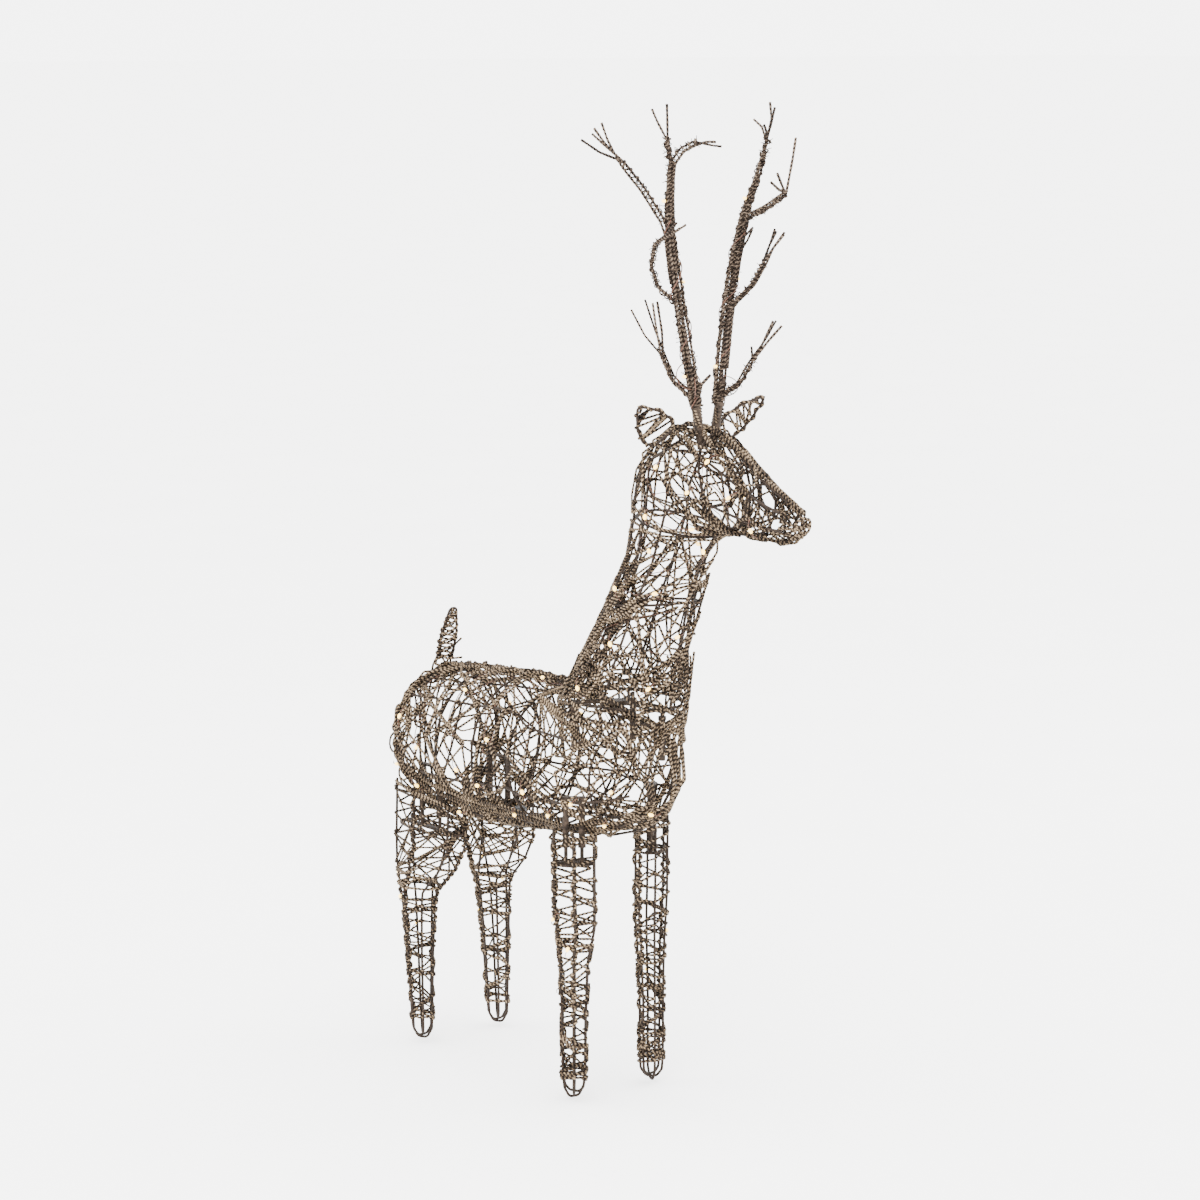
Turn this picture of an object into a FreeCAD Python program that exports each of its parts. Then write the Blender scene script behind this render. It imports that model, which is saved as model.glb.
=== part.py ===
import FreeCAD, Part
import math
import os

# Standing stag for the garden: welded wire cages wound with twisted twine, with small lamps
# woven in. The neck with its head, the four legs and the two antlers plug into the barrel.
# Frame: +X forward, +Y the stag's left, +Z up, Z = 0 is the ground, X = 0 halfway nose to rump.

os.makedirs("parts", exist_ok=True)
V = FreeCAD.Vector

# ---- driving dimensions, mm ----
ROD_R = 2.0                 # welded frame rod
SKIN = 3.2                  # twine skin, one strand thick
ROD_IN = SKIN + ROD_R + 1.2  # depth of a long rod under the skin's outer face
HOOP_IN = ROD_IN + 2 * ROD_R + 0.1  # hoops lie inside the long rods
SEAT_GAP = 5.0              # air between two cages at a plug-in seat
PIN_R = 3.0                 # plug pin
BORE_R = 3.08               # bore of a socket tube
TUBE_R = 5.0                # outside of a socket tube
COLLAR_R = 6.0              # stop collar on a pin
COLLAR_L = 6.0
LAMP_R = 2.4
LAMP_L = 6.0
WIRE_R = 0.7
WIRE_IN = HOOP_IN + ROD_R + 4.5  # the lamp wire runs inside the cages

# barrel: x, top, bottom, half width
BARREL = [
    (-461, 524, 436, 44), (-450, 566, 398, 80), (-415, 602, 372, 106), (-330, 613, 362, 111),
    (-240, 618, 365, 114), (-150, 623, 374, 116), (-108, 620, 381, 116), (-84, 599, 384, 116),
    (20, 592, 392, 113), (85, 584, 411, 80), (125, 568, 438, 50), (147, 545, 474, 31),
]
# shoulder collar that rises from the barrel to the neck: z, rear x, front x, half width
SHOULDER = [(480, -70, 130, 84), (560, -84, 152, 88), (597, -74, 157, 83)]
SEAT_Z = SHOULDER[-1][0]
# neck and head: nape or crown x, z; throat or jaw x, z; half width
NECK = [
    (-77, 602, 161, 602, 85), (-26, 675, 179, 690, 77), (25, 754, 204, 775, 67),
    (71, 827, 230, 836, 61), (90, 901, 261, 874, 67),
]
HEAD = [
    (90, 901, 261, 874, 67), (97, 960, 272, 878, 69), (122, 1008, 283, 880, 69),
    (183, 1040, 293, 881, 64), (253, 1038, 303, 881, 57), (314, 1006, 318, 880, 48),
    (361, 976, 352, 880, 40), (399, 959, 389, 878, 35), (432, 945, 423, 882, 28),
    (452, 929, 446, 896, 18),
]
# legs: z, shift of the middle forward, shift inward, long half axis, short half axis
FRONT_LEG = [
    (0, 0, 0, 13, 13), (5, 0, 0, 20, 20), (14, 0, 0, 24.5, 24), (45, 0, 0, 25.5, 24.5),
    (130, 0, 0, 26.5, 24.5), (215, -1, 1, 30, 27), (262, 1, 3, 38, 30), (300, 0, 1, 41, 31),
    (428, 0, 0, 41, 31),
]
HIND_LEG = [
    (0, 0, 0, 12, 12), (5, 0, 0, 19, 19), (14, 0, 0, 23.5, 22.5), (65, -2, 0, 26, 24.5),
    (145, -5, 0, 30, 28), (225, -9, 1, 37, 32), (247, -11, 2, 42, 34), (288, 5, 5, 72, 38),
    (325, 15, 7, 87, 39), (425, 17, 8, 87, 39),
]
# leg: name, foot x, side (+1 left), table, turn of the long axis, socket mouth z, pin reach
LEGS = [
    ("front_right", 20, -1, FRONT_LEG, 50, 396, 12),
    ("front_left", 20, 1, FRONT_LEG, 50, 396, 12),
    ("hind_right", -380, -1, HIND_LEG, 0, 380, 24),
    ("hind_left", -380, 1, HIND_LEG, 0, 380, 24),
]
TRACK = 74.0                # foot centre from the middle plane
PIN_DEPTH = 60.0            # length of a leg pin inside its tube
NECK_PIN_DEPTH = 55.0

# antlers, right side as seen from behind mirrored for the left: x, outward y, z, radius
BEAM_RIGHT = [
    (238, 24, 1084, 9.5), (238, 36, 1138, 9.5), (234, 47, 1205, 9), (233, 58, 1267, 8.5),
    (235, 69, 1330, 7), (248, 79, 1381, 6), (260, 85, 1410, 5),
]
BEAM_LEFT = [
    (235, 24, 1084, 9.5), (228, 37, 1149, 9.5), (225, 48, 1211, 9), (226, 59, 1269, 8.5),
    (233, 70, 1332, 7), (245, 78, 1372, 6), (257, 86, 1420, 5),
]
TINES_RIGHT = [
    [(257, 90, 1416), (257, 94, 1448), (228, 99, 1486)],
    [(266, 82, 1418), (280, 76, 1430), (304, 72, 1438), (344, 66, 1435)],
    [(226, 78, 1334), (201, 97, 1384), (178, 110, 1412), (116, 124, 1440)],
    [(222, 52, 1221), (192, 60, 1237), (192, 66, 1265), (214, 76, 1294), (262, 84, 1325)],
    [(226, 30, 1081), (204, 38, 1103), (198, 48, 1136), (156, 74, 1198)],
]
TINES_LEFT = [
    [(258, 92, 1428), (259, 95, 1446), (256, 99, 1492)],
    [(242, 76, 1333), (265, 84, 1341), (300, 96, 1362), (310, 106, 1402), (289, 122, 1441)],
    [(236, 54, 1210), (264, 63, 1236), (276, 72, 1260), (279, 92, 1312)],
    [(246, 30, 1080), (268, 38, 1097), (277, 50, 1122), (294, 76, 1184)],
]
ANTLER_SEAT = V(238, 21, 1062)  # top of the crown socket, left side
ANTLER_PULL = V(0, 0.19, 0.98)  # way the left antler pulls out


def save(node, *shapes):
    """Write one node; several shapes stay separate solids."""
    shape = shapes[0] if len(shapes) == 1 else Part.makeCompound(list(shapes))
    for solid in shape.Solids:
        if not solid.isValid() or solid.Volume <= 0:
            raise RuntimeError(node + " has a solid that is not sound")
    shape.exportStep("parts/" + node + ".step")
    print(node, len(shape.Solids), round(shape.Volume))


def fuse(shapes):
    """Weld solids into one clean solid."""
    whole = shapes[0].multiFuse(shapes[1:]).removeSplitter()
    return whole.Solids[0] if len(whole.Solids) == 1 else whole


def rod(points, radius, closed=False, bend=40.0):
    """Round rod along straight runs joined by tangent arcs."""
    pts = [V(p) for p in points]
    n = len(pts)
    corners = range(n) if closed else range(1, n - 1)
    arcs = {}
    for i in corners:
        a, p, b = pts[i - 1], pts[i], pts[(i + 1) % n]
        d1 = (p - a).normalize()
        d2 = (b - p).normalize()
        turn = d1.getAngle(d2)
        if turn < 0.004:
            continue
        cut = min(0.45 * (p - a).Length, 0.45 * (b - p).Length, bend * math.tan(turn / 2))
        r = cut / math.tan(turn / 2)
        inward = (d2 - d1).normalize()
        middle = p + inward * (r / math.cos(turn / 2) - r)
        arcs[i] = (p - d1 * cut, middle, p + d2 * cut)
    edges = []
    for i in range(n if closed else n - 1):
        j = (i + 1) % n
        start = arcs[i][2] if i in arcs else pts[i]
        end = arcs[j][0] if j in arcs else pts[j]
        edges.append(Part.LineSegment(start, end).toShape())
        if j in arcs and (closed or j < n - 1):
            edges.append(Part.Arc(*arcs[j]).toShape())
    path = Part.Wire(edges)
    first = edges[0]
    profile = Part.Wire([Part.Circle(first.Vertexes[0].Point, first.tangentAt(first.FirstParameter),
                                     radius).toShape()])
    body = path.makePipeShell([profile], True, False)
    return body.Solids[0] if body.Solids else Part.Solid(body)


def cylinder(centre, axis, radius, length):
    """Cylinder that starts at centre and runs along axis."""
    return Part.makeCylinder(radius, length, centre, axis)


def tube(centre, axis, outer, inner, length):
    """Hollow cylinder that starts at centre and runs along axis."""
    return cylinder(centre, axis, outer, length).cut(cylinder(centre, axis, inner, length))


class Section:
    """One oval cross-section: centre, unit side and up directions, half axes."""

    def __init__(self, centre, side, up, a, b):
        self.c, self.u, self.v, self.a, self.b = centre, side, up, a, b

    def at(self, degrees, inset=0.0):
        t = math.radians(degrees)
        return (self.c + self.u * ((self.a - inset) * math.cos(t))
                + self.v * ((self.b - inset) * math.sin(t)))

    def moved(self, distance):
        n = self.u.cross(self.v)
        return Section(self.c + n * distance, self.u, self.v, self.a, self.b)

    def wire(self, inset=0.0):
        curve = Part.BSplineCurve()
        curve.interpolate([self.at(k * 30, inset) for k in range(12)], PeriodicFlag=True)
        return Part.Wire([curve.toShape()])

    def ring(self, inset, count=20):
        return [self.at((k + 0.5) * 360.0 / count, inset) for k in range(count)]


def barrel_section(x, top, bottom, half):
    return Section(V(x, 0, (top + bottom) / 2), V(0, 1, 0), V(0, 0, 1), half, (top - bottom) / 2)


def flat_section(z, rear, front, half):
    return Section(V((rear + front) / 2, 0, z), V(1, 0, 0), V(0, 1, 0), (front - rear) / 2, half)


def neck_section(bx, bz, fx, fz, half):
    back, front = V(bx, 0, bz), V(fx, 0, fz)
    return Section((back + front) / 2, V(0, 1, 0), (front - back).normalize(), half,
                   (front - back).Length / 2)


def leg_section(foot_x, side, turn, row):
    z, forward, inward, a, b = row
    t = math.radians(turn)
    along = V(math.cos(t), -side * math.sin(t), 0)
    across = V(side * math.sin(t), math.cos(t), 0)
    return Section(V(foot_x + forward, side * (TRACK - inward), z), along, across, a, b)


def loft(sections, inset=0.0):
    """Closed solid through the sections, straight between one and the next."""
    return Part.makeLoft([s.wire(inset) for s in sections], True, True)


def stacked(sections, inset=0.0):
    """The same solid, put together slice by slice, for sections that fan round a tight bend."""
    slices = [loft(pair, inset) for pair in zip(sections, sections[1:])]
    return slices[0].multiFuse(slices[1:])


def section_at(sections, t):
    """Section at position t along the list, 0 at the first and 1 at the second."""
    i = min(int(t), len(sections) - 2)
    k = t - i
    s, n = sections[i], sections[i + 1]
    return Section(s.c + (n.c - s.c) * k, s.u, s.v + (n.v - s.v) * k, s.a + (n.a - s.a) * k,
                   s.b + (n.b - s.b) * k)


def station(sections, x):
    """Position along the barrel's list that lies at x."""
    for i, (s, n) in enumerate(zip(sections, sections[1:])):
        if s.c.x <= x <= n.c.x:
            return i + (x - s.c.x) / (n.c.x - s.c.x)
    raise ValueError("x is outside the barrel")


def between(sections, x):
    """Barrel section at x, by straight interpolation."""
    return section_at(sections, station(sections, x))


def under_barrel(x, y, highest):
    """Height at which a leg's wire ends, just short of the barrel above it."""
    s = between(barrel, max(min(x, 146), -458))
    if abs(y) >= s.a + SEAT_GAP:
        return highest
    share = math.sqrt(1 - (y / (s.a + SEAT_GAP)) ** 2)
    return min(highest, s.c.z - (s.b + SEAT_GAP) * share - ROD_R - 3)


def lamp(point, outward):
    """Small clear lamp bead lying on the skin."""
    d = V(outward).normalize()
    across = d.cross(V(0, 0, 1))
    if across.Length < 0.2:
        across = d.cross(V(1, 0, 0))
    across.normalize()
    centre = point + d * (LAMP_R + 0.6)
    body = cylinder(centre - across * (LAMP_L / 2), across, LAMP_R, LAMP_L)
    return body.makeFillet(1.6, [e for e in body.Edges if e.Length < 2.1 * math.pi * LAMP_R
                                 and e.Closed])


def skin_lamps(sections, spots):
    """Lamps that lie on the skin, from (position along the list, degrees) pairs."""
    made = []
    for t, degrees in spots:
        along = section_at(sections, t + 0.02).at(degrees) - section_at(sections, t).at(degrees)
        round_it = section_at(sections, t).at(degrees + 2) - section_at(sections, t).at(degrees)
        outward = along.cross(round_it)
        p = section_at(sections, t).at(degrees)
        if outward.dot(p - section_at(sections, t).c) < 0:
            outward = outward * -1
        made.append(lamp(p, outward))
    return made


# ---- barrel ----
barrel = [barrel_section(*row) for row in BARREL]
shoulder = [flat_section(*row) for row in SHOULDER]
legs = {}
for name, foot_x, side, table, turn, mouth, reach in LEGS:
    legs[name] = [leg_section(foot_x, side, turn, row) for row in table]

outer = loft(barrel).fuse(loft(shoulder))
core = list(barrel)
core[0] = barrel[0].moved(SKIN)
core[-1] = barrel[-1].moved(-SKIN)
mouth_top = Section(shoulder[-1].c + V(0, 0, 10), V(1, 0, 0), V(0, 1, 0), shoulder[-1].a,
                    shoulder[-1].b)
inner = loft(core, SKIN).fuse(loft(shoulder + [mouth_top], SKIN))
barrel_skin = outer.cut(inner)


def pin_places(name):
    """The two plug pin centres of one leg, at ground height."""
    _, foot_x, side, table, turn, mouth, reach = [row for row in LEGS if row[0] == name][0]
    top = legs[name][-1]
    flat = V(top.c.x, top.c.y, 0)
    return [flat - top.u * reach, flat + top.u * reach]


INLET = V(-250, 26, 0)
INLET_R = 9.0
INLET_BORE = 5.0
inlet_low = between(barrel, INLET.x).c.z - between(barrel, INLET.x).b - 4

holes = []
for name in legs:
    for place in pin_places(name):
        holes.append(cylinder(V(place.x, place.y, 340), V(0, 0, 1), TUBE_R + 0.6, 150))
holes.append(cylinder(V(INLET.x, INLET.y, 340), V(0, 0, 1), INLET_R + 0.6, 60))
# gaps in the weave that a hand finds on the flanks
for x, z in ((-370, 480), (-285, 520), (-200, 470), (-115, 510)):
    gap = cylinder(V(x, -160, z), V(0, 1, 0), 16, 320)
    holes.append(gap)
barrel_skin = barrel_skin.cut(Part.makeCompound(holes))
save("barrel_wicker_skin", barrel_skin.Solids[0] if len(barrel_skin.Solids) == 1 else barrel_skin)

RUN_X = [-446, -415, -330, -240, -150, -108, -84, 20, 85, 118]


def long_rod(degrees, stations):
    return rod([between(barrel, x).at(degrees, ROD_IN) for x in stations], ROD_R)


save("barrel_spine_rod", long_rod(90, RUN_X[:6]))
save("barrel_keel_rod", long_rod(270, RUN_X))
save("barrel_flank_rods", *[long_rod(d, RUN_X) for d in (40, 140, -20, 200, -60, 240)])
save("barrel_hoops", *[rod(between(barrel, x).ring(HOOP_IN), ROD_R, closed=True)
                       for x in (-410, -300, -200, -105, 64)])

seat = flat_section(SEAT_Z - 8, -73, 156, 82)
save("neck_seat_hoop", rod(seat.ring(ROD_IN), ROD_R, closed=True))
neck_places = [seat.at(d, ROD_IN + ROD_R + TUBE_R + 5.6) for d in (0, 118, 242)]
save("neck_socket_tubes", *[tube(V(p.x, p.y, SEAT_Z - 65), V(0, 0, 1), TUBE_R, BORE_R, 60)
                            for p in neck_places])

brackets = []
for name, foot_x, side, table, turn, mouth, reach in LEGS:
    places = pin_places(name)
    tubes = [tube(V(p.x, p.y, mouth), V(0, 0, 1), TUBE_R, BORE_R, PIN_DEPTH + 8) for p in places]
    span = places[1] - places[0]
    top = mouth + PIN_DEPTH + 8
    strap = Part.makeBox(span.Length + 2 * TUBE_R, 2 * TUBE_R, 3,
                         V(-TUBE_R, -TUBE_R, 0))
    strap.rotate(V(0, 0, 0), V(0, 0, 1), math.degrees(math.atan2(span.y, span.x)))
    strap.translate(V(places[0].x, places[0].y, top))
    brackets.append(fuse(tubes + [strap]))
save("leg_socket_brackets", *brackets)

# low-voltage lead inlet under the belly, hung beside the keel rod
inlet = tube(V(INLET.x, INLET.y, inlet_low), V(0, 0, 1), INLET_R, INLET_BORE, 16)
inlet = inlet.fuse(cylinder(V(INLET.x, INLET.y, inlet_low + 16), V(0, 0, 1), INLET_R, 14))
save("lead_inlet_socket", inlet.removeSplitter())
save("lead_inlet_ring_nut", tube(V(INLET.x, INLET.y, inlet_low + 0.2), V(0, 0, 1), INLET_R + 3.5,
                                 INLET_R, 3.6))

BODY_LAMPS = [(-432, 205), (-400, 160), (-370, 215), (-340, 180), (-290, 235), (-260, 130),
              (-230, 190), (-180, 200), (-150, 165), (-120, 225), (-60, 195), (-20, 215),
              (40, 200), (70, 230), (100, 190), (130, 250), (-300, 300), (-200, 20), (-380, 20),
              (-100, -20), (0, -30), (80, -10), (-330, 60), (-130, 100)]
save("barrel_lamps", *skin_lamps(barrel, [(station(barrel, x), d) for x, d in BODY_LAMPS]))

passes = []
for k in range(7):
    x = -425 + k * 52
    sweep = range(-5, 190, 15) if k % 2 == 0 else range(185, -10, -15)
    for i, d in enumerate(sweep):
        passes.append(between(barrel, x + 3.2 * i).at(d, WIRE_IN))
save("barrel_light_wire", rod(passes, WIRE_R, bend=12))

# ---- tail ----
TAIL_BASE = V(-416, 0, 612)
TAIL_TIP = V(-392, 0, 690)
tail_side = V(0, 1, 0)
tail_run = TAIL_TIP - TAIL_BASE
save("tail_frame", rod([TAIL_BASE - tail_side * 15, TAIL_BASE + tail_run * 0.45 - tail_side * 15,
                        TAIL_TIP - tail_side * 6, TAIL_TIP + tail_side * 6,
                        TAIL_BASE + tail_run * 0.45 + tail_side * 15, TAIL_BASE + tail_side * 15],
                       ROD_R, bend=14))
web = Part.Face(Part.makePolygon([TAIL_BASE - tail_side * 12.4, TAIL_BASE + tail_side * 12.4,
                                  TAIL_BASE + tail_run * 0.44 + tail_side * 12.4,
                                  TAIL_BASE + tail_run * 0.93 + tail_side * 3.6,
                                  TAIL_BASE + tail_run * 0.93 - tail_side * 3.6,
                                  TAIL_BASE + tail_run * 0.44 - tail_side * 12.4,
                                  TAIL_BASE - tail_side * 12.4]))
web_normal = tail_run.cross(tail_side).normalize()
web = web.extrude(web_normal * SKIN)
web.translate(web_normal * (-SKIN / 2))
for k in (0.2, 0.45, 0.68):
    web = web.cut(cylinder(TAIL_BASE + tail_run * k - web_normal * 5, web_normal, 4.0, 10))
save("tail_wicker_web", web)

# ---- neck and head ----
neck = [neck_section(*row) for row in NECK]
head = [neck_section(*row) for row in HEAD]


def open_skin(sections, low, high):
    """Skin through sections, open at the low end and, when high is set, at the high end too."""
    inside = list(sections)
    inside[0] = sections[0].moved(-4 * low)
    inside[-1] = sections[-1].moved(4 * low if high else -SKIN * low)
    skin = stacked(sections).cut(stacked(inside, SKIN))
    if skin.Volume < 0:
        skin.reverse()
    return skin


facing = 1 if neck[0].u.cross(neck[0].v).z > 0 else -1
neck_skin = open_skin(neck, facing, True)
for x, z in ((60, 655), (85, 735), (115, 800)):
    neck_skin = neck_skin.cut(cylinder(V(x, -160, z), V(0, 1, 0), 13, 320))
save("neck_wicker_skin", neck_skin.Solids[0])

socket_dir = {1: V(ANTLER_PULL).normalize(),
              -1: V(ANTLER_PULL.x, -ANTLER_PULL.y, ANTLER_PULL.z).normalize()}
socket_top = {1: V(ANTLER_SEAT), -1: V(ANTLER_SEAT.x, -ANTLER_SEAT.y, ANTLER_SEAT.z)}
head_skin = open_skin(head, facing, False)
for side in (1, -1):
    head_skin = head_skin.cut(cylinder(socket_top[side] - socket_dir[side] * 70, socket_dir[side],
                                       7.1, 75))
for x, z in ((175, 950), (250, 945), (330, 935)):
    head_skin = head_skin.cut(cylinder(V(x, -160, z), V(0, 1, 0), 12, 320))
save("head_wicker_skin", head_skin.Solids[0])

everything = neck + head[1:]
first = section_at(neck, 0.1)


def neck_rod(degrees, picks):
    return rod([first.at(degrees, ROD_IN + 1.2)] + [everything[i].at(degrees, ROD_IN + 1.2)
                                                     for i in picks], ROD_R, bend=18)


save("nape_and_crown_rod", neck_rod(270, range(1, 13)))
save("throat_and_jaw_rod", neck_rod(90, range(1, 13)))
save("neck_side_rods", *[neck_rod(d, range(1, 13)) for d in (20, 160, 325, 215)])
save("neck_hoops", *[rod(everything[i].ring(HOOP_IN + 1.2, 12), ROD_R, closed=True, bend=20)
                     for i in (2, 4)])
save("head_hoops", *[rod(everything[i].ring(HOOP_IN + 1.2, 12), ROD_R, closed=True, bend=20)
                     for i in (8, 10, 12)])
turns = []
for k in range(60):
    t = 0.9 + k * 0.085
    turns.append(section_at(everything, t).at(40 + k * 31, WIRE_IN + 2))
save("neck_light_wire", rod(turns, WIRE_R, bend=10))

pins = []
for p in neck_places:
    pins.append(cylinder(V(p.x, p.y, SEAT_Z - 5 - NECK_PIN_DEPTH), V(0, 0, 1), PIN_R,
                         NECK_PIN_DEPTH + 15))
    pins.append(cylinder(V(p.x, p.y, SEAT_Z - 5), V(0, 0, 1), COLLAR_R, COLLAR_L))
    spoke_end = V(33 + (p.x - 33) * 0.1, p.y * 0.1, SEAT_Z + 7)
    pins.append(rod([V(p.x, p.y, SEAT_Z + 7), spoke_end], ROD_R + 0.4))
pins.append(cylinder(V(33, 0, SEAT_Z + 4), V(0, 0, 1), 14, 6))
save("neck_plug_spider", fuse(pins))
save("neck_base_hoop", rod(first.ring(HOOP_IN + 1.2), ROD_R, closed=True))

NECK_LAMPS = [(0.4, 190), (0.5, 120), (1.3, 170), (1.4, 100), (1.5, 20), (2.4, 200),
              (2.3, 140), (3.4, 165), (3.5, 100), (4.5, 180), (5.5, 130), (6.5, 200),
              (7.5, 170), (8.5, 215), (9.5, 190), (10.5, 150), (6.5, 20), (8.5, 340),
              (3.3, 350)]
save("neck_and_head_lamps", *skin_lamps(everything, NECK_LAMPS))

for side, word in ((-1, "right"), (1, "left")):
    root = V(204, side * 50, 1016)
    tip = V(227, side * 117, 1069)
    run = tip - root
    wide = V(0.41, side * -0.60, 0.69)
    wide = (wide - run * (wide.dot(run) / run.dot(run))).normalize()
    outline = [root + run * 0.04 - wide * 18, root + run * 0.28 - wide * 27,
               root + run * 0.58 - wide * 22, root + run * 0.86 - wide * 9, tip,
               root + run * 0.80 + wide * 11, root + run * 0.55 + wide * 21,
               root + run * 0.28 + wide * 25, root + run * 0.04 + wide * 18]
    save(word + "_ear_frame", rod(outline, ROD_R, closed=True, bend=12))
    middle = root + run * 0.45
    small = [middle + (p - middle) * 0.76 for p in outline]
    leaf = Part.Face(Part.makePolygon(small + [small[0]]))
    normal = leaf.normalAt(0, 0)
    leaf = leaf.extrude(normal * SKIN)
    leaf.translate(normal * (-SKIN / 2))
    for k in (0.3, 0.55):
        leaf = leaf.cut(cylinder(root + run * k - normal * 6, normal, 5, 12))
    save(word + "_ear_wicker_web", leaf)

# ---- antlers ----
STEM_R = 4.0
for side, word, beam, tines in ((-1, "right", BEAM_RIGHT, TINES_RIGHT),
                                (1, "left", BEAM_LEFT, TINES_LEFT)):
    top, way = socket_top[side], socket_dir[side]
    save(word + "_antler_socket", tube(top - way * 60, way, 6.6, STEM_R + 0.08, 60))
    stem = fuse([cylinder(top - way * 52, way, STEM_R, 92), cylinder(top, way, 7.5, 6)])
    save(word + "_antler_stem", stem)
    line = [V(x, side * y, z) for x, y, z, r in beam]
    foot = top + way * 14
    cones = []
    nodes = [foot] + line[1:]
    radii = [beam[0][3]] + [r for x, y, z, r in beam[1:]]
    for a, b, ra, rb in zip(nodes, nodes[1:], radii, radii[1:]):
        if ra == rb:
            cones.append(cylinder(a, b - a, ra, (b - a).Length))
        else:
            cones.append(Part.makeCone(ra, rb, (b - a).Length, a, b - a))
        cones.append(Part.makeSphere(rb, b))
    core = fuse(cones)
    beam_solid = core.cut(cylinder(top, way, STEM_R + 0.05, 40.5))
    save(word + "_antler_beam", beam_solid)
    branches = []
    for tine in tines:
        pieces = rod([V(x, side * y, z) for x, y, z in tine], 3.4, bend=30).cut(core)
        branches.append(max(pieces.Solids, key=lambda solid: solid.Volume))
    save(word + "_antler_tines", *branches)
    lamps = []
    for i, across in ((1, 1), (3, -1), (5, 1)):
        a, b = nodes[i - 1], nodes[i]
        t = 0.55
        mid = a + (b - a) * t
        out = V(1, 0, 0).cross(b - a).normalize() * across
        r = radii[i - 1] + (radii[i] - radii[i - 1]) * t
        lamps.append(lamp(mid + out * r, out))
    save(word + "_antler_lamps", *lamps)

# ---- legs ----
above = []
for s in barrel:
    above.append(Section(s.c, s.u, s.v, s.a + SEAT_GAP, s.b + SEAT_GAP))
keep_out = loft(above)
for name, foot_x, side, table, turn, mouth, reach in LEGS:
    parts = legs[name]
    floor = Section(V(parts[0].c.x, parts[0].c.y, 4), parts[0].u, parts[0].v, 13, 13)
    lid = Section(parts[-1].c + V(0, 0, 5), parts[-1].u, parts[-1].v, parts[-1].a, parts[-1].b)
    whole = loft(parts)
    core = loft([floor] + parts[1:-1] + [lid], SKIN)
    skin = whole.cut(core).cut(keep_out)
    for z in (95, 175):
        s = [p for p in parts if p.c.z >= z][0]
        skin = skin.cut(cylinder(V(s.c.x, s.c.y, z) - s.v * 60, s.v, 7, 120))
    skin = max(skin.Solids, key=lambda solid: solid.Volume)
    save(name + "_leg_wicker_skin", skin)

    rods = []
    for k in range(3):
        degrees = k * 60 + 30
        toe = 6.4 + 4.2 * k
        levels = [s for s in parts if 40 < s.c.z < 420]
        ends = []
        for d in (degrees, degrees + 180):
            e = parts[-1].at(d, ROD_IN)
            ends.append(V(e.x, e.y, under_barrel(e.x, e.y, 420)))
        down = [ends[0]] + [s.at(degrees, ROD_IN) for s in reversed(levels)]
        up = [s.at(degrees + 180, ROD_IN) for s in levels] + [ends[1]]
        foot = [Section(V(s.c.x, s.c.y, z), s.u, s.v, r, r)
                for s, z, r in ((parts[0], 22, 16.5), (parts[0], toe, 8))]
        toes = [f.at(degrees) for f in foot] + [f.at(degrees + 180) for f in reversed(foot)]
        rods.append(rod(down + toes + up, ROD_R, bend=9))
    save(name + "_leg_rods", *rods)

    top = parts[-1]
    high = Section(V(top.c.x, top.c.y, mouth - 30), top.u, top.v, top.a, top.b)
    ankle = [p for p in parts if 40 < p.c.z < 70][0]
    save(name + "_leg_hoops", rod(high.ring(HOOP_IN, 12), ROD_R, closed=True, bend=14),
         rod(ankle.ring(HOOP_IN, 10), ROD_R - 0.6, closed=True, bend=5))
    reach_bar = (high.a - HOOP_IN) * math.cos(math.radians(15)) - ROD_R - 1.0
    bar = Part.makeBox(2 * reach_bar, 10, 4, V(-reach_bar, -5, -2))
    bar.rotate(V(0, 0, 0), V(0, 0, 1), math.degrees(math.atan2(high.u.y, high.u.x)))
    bar.translate(high.c)
    fork = [bar]
    for p in pin_places(name):
        fork.append(cylinder(V(p.x, p.y, high.c.z), V(0, 0, 1), PIN_R, mouth + PIN_DEPTH - high.c.z))
        fork.append(cylinder(V(p.x, p.y, mouth - COLLAR_L), V(0, 0, 1), COLLAR_R, COLLAR_L))
    save(name + "_leg_plug_fork", fuse(fork))

    lamps = []
    for i, degrees in ((4, 150), (5, 250), (6, 200)):
        s, t = parts[i], parts[i + 1]
        mid = Section((s.c + t.c) * 0.5, s.u, s.v, (s.a + t.a) / 2, (s.b + t.b) / 2)
        p = mid.at(degrees if side < 0 else -degrees)
        lamps.append(lamp(p, p - mid.at(degrees if side < 0 else -degrees, 4.0)))
    save(name + "_leg_lamps", *lamps)
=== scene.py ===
import bpy
import numpy as np
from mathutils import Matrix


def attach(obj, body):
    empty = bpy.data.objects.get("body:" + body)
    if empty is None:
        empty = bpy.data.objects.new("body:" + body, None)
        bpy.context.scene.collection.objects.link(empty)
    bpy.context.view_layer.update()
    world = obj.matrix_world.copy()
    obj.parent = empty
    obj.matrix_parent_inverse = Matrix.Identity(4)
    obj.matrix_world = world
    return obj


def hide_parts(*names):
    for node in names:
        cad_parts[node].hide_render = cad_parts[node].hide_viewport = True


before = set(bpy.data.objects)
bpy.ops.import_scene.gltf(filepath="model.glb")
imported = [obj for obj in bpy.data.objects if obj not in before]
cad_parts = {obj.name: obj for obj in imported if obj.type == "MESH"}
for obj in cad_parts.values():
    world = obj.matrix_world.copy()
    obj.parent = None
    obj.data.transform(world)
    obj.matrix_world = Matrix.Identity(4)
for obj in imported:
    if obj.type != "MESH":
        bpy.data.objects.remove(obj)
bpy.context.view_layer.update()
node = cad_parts

# ---- Frame wire -------------------------------------------------------------------------------
# Soft steel wire, 4 mm, in a brown-black dip coat. Long rods and hoops are spot-welded into one
# open cage for each part of the stag, and the twine is wound over them.

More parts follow.
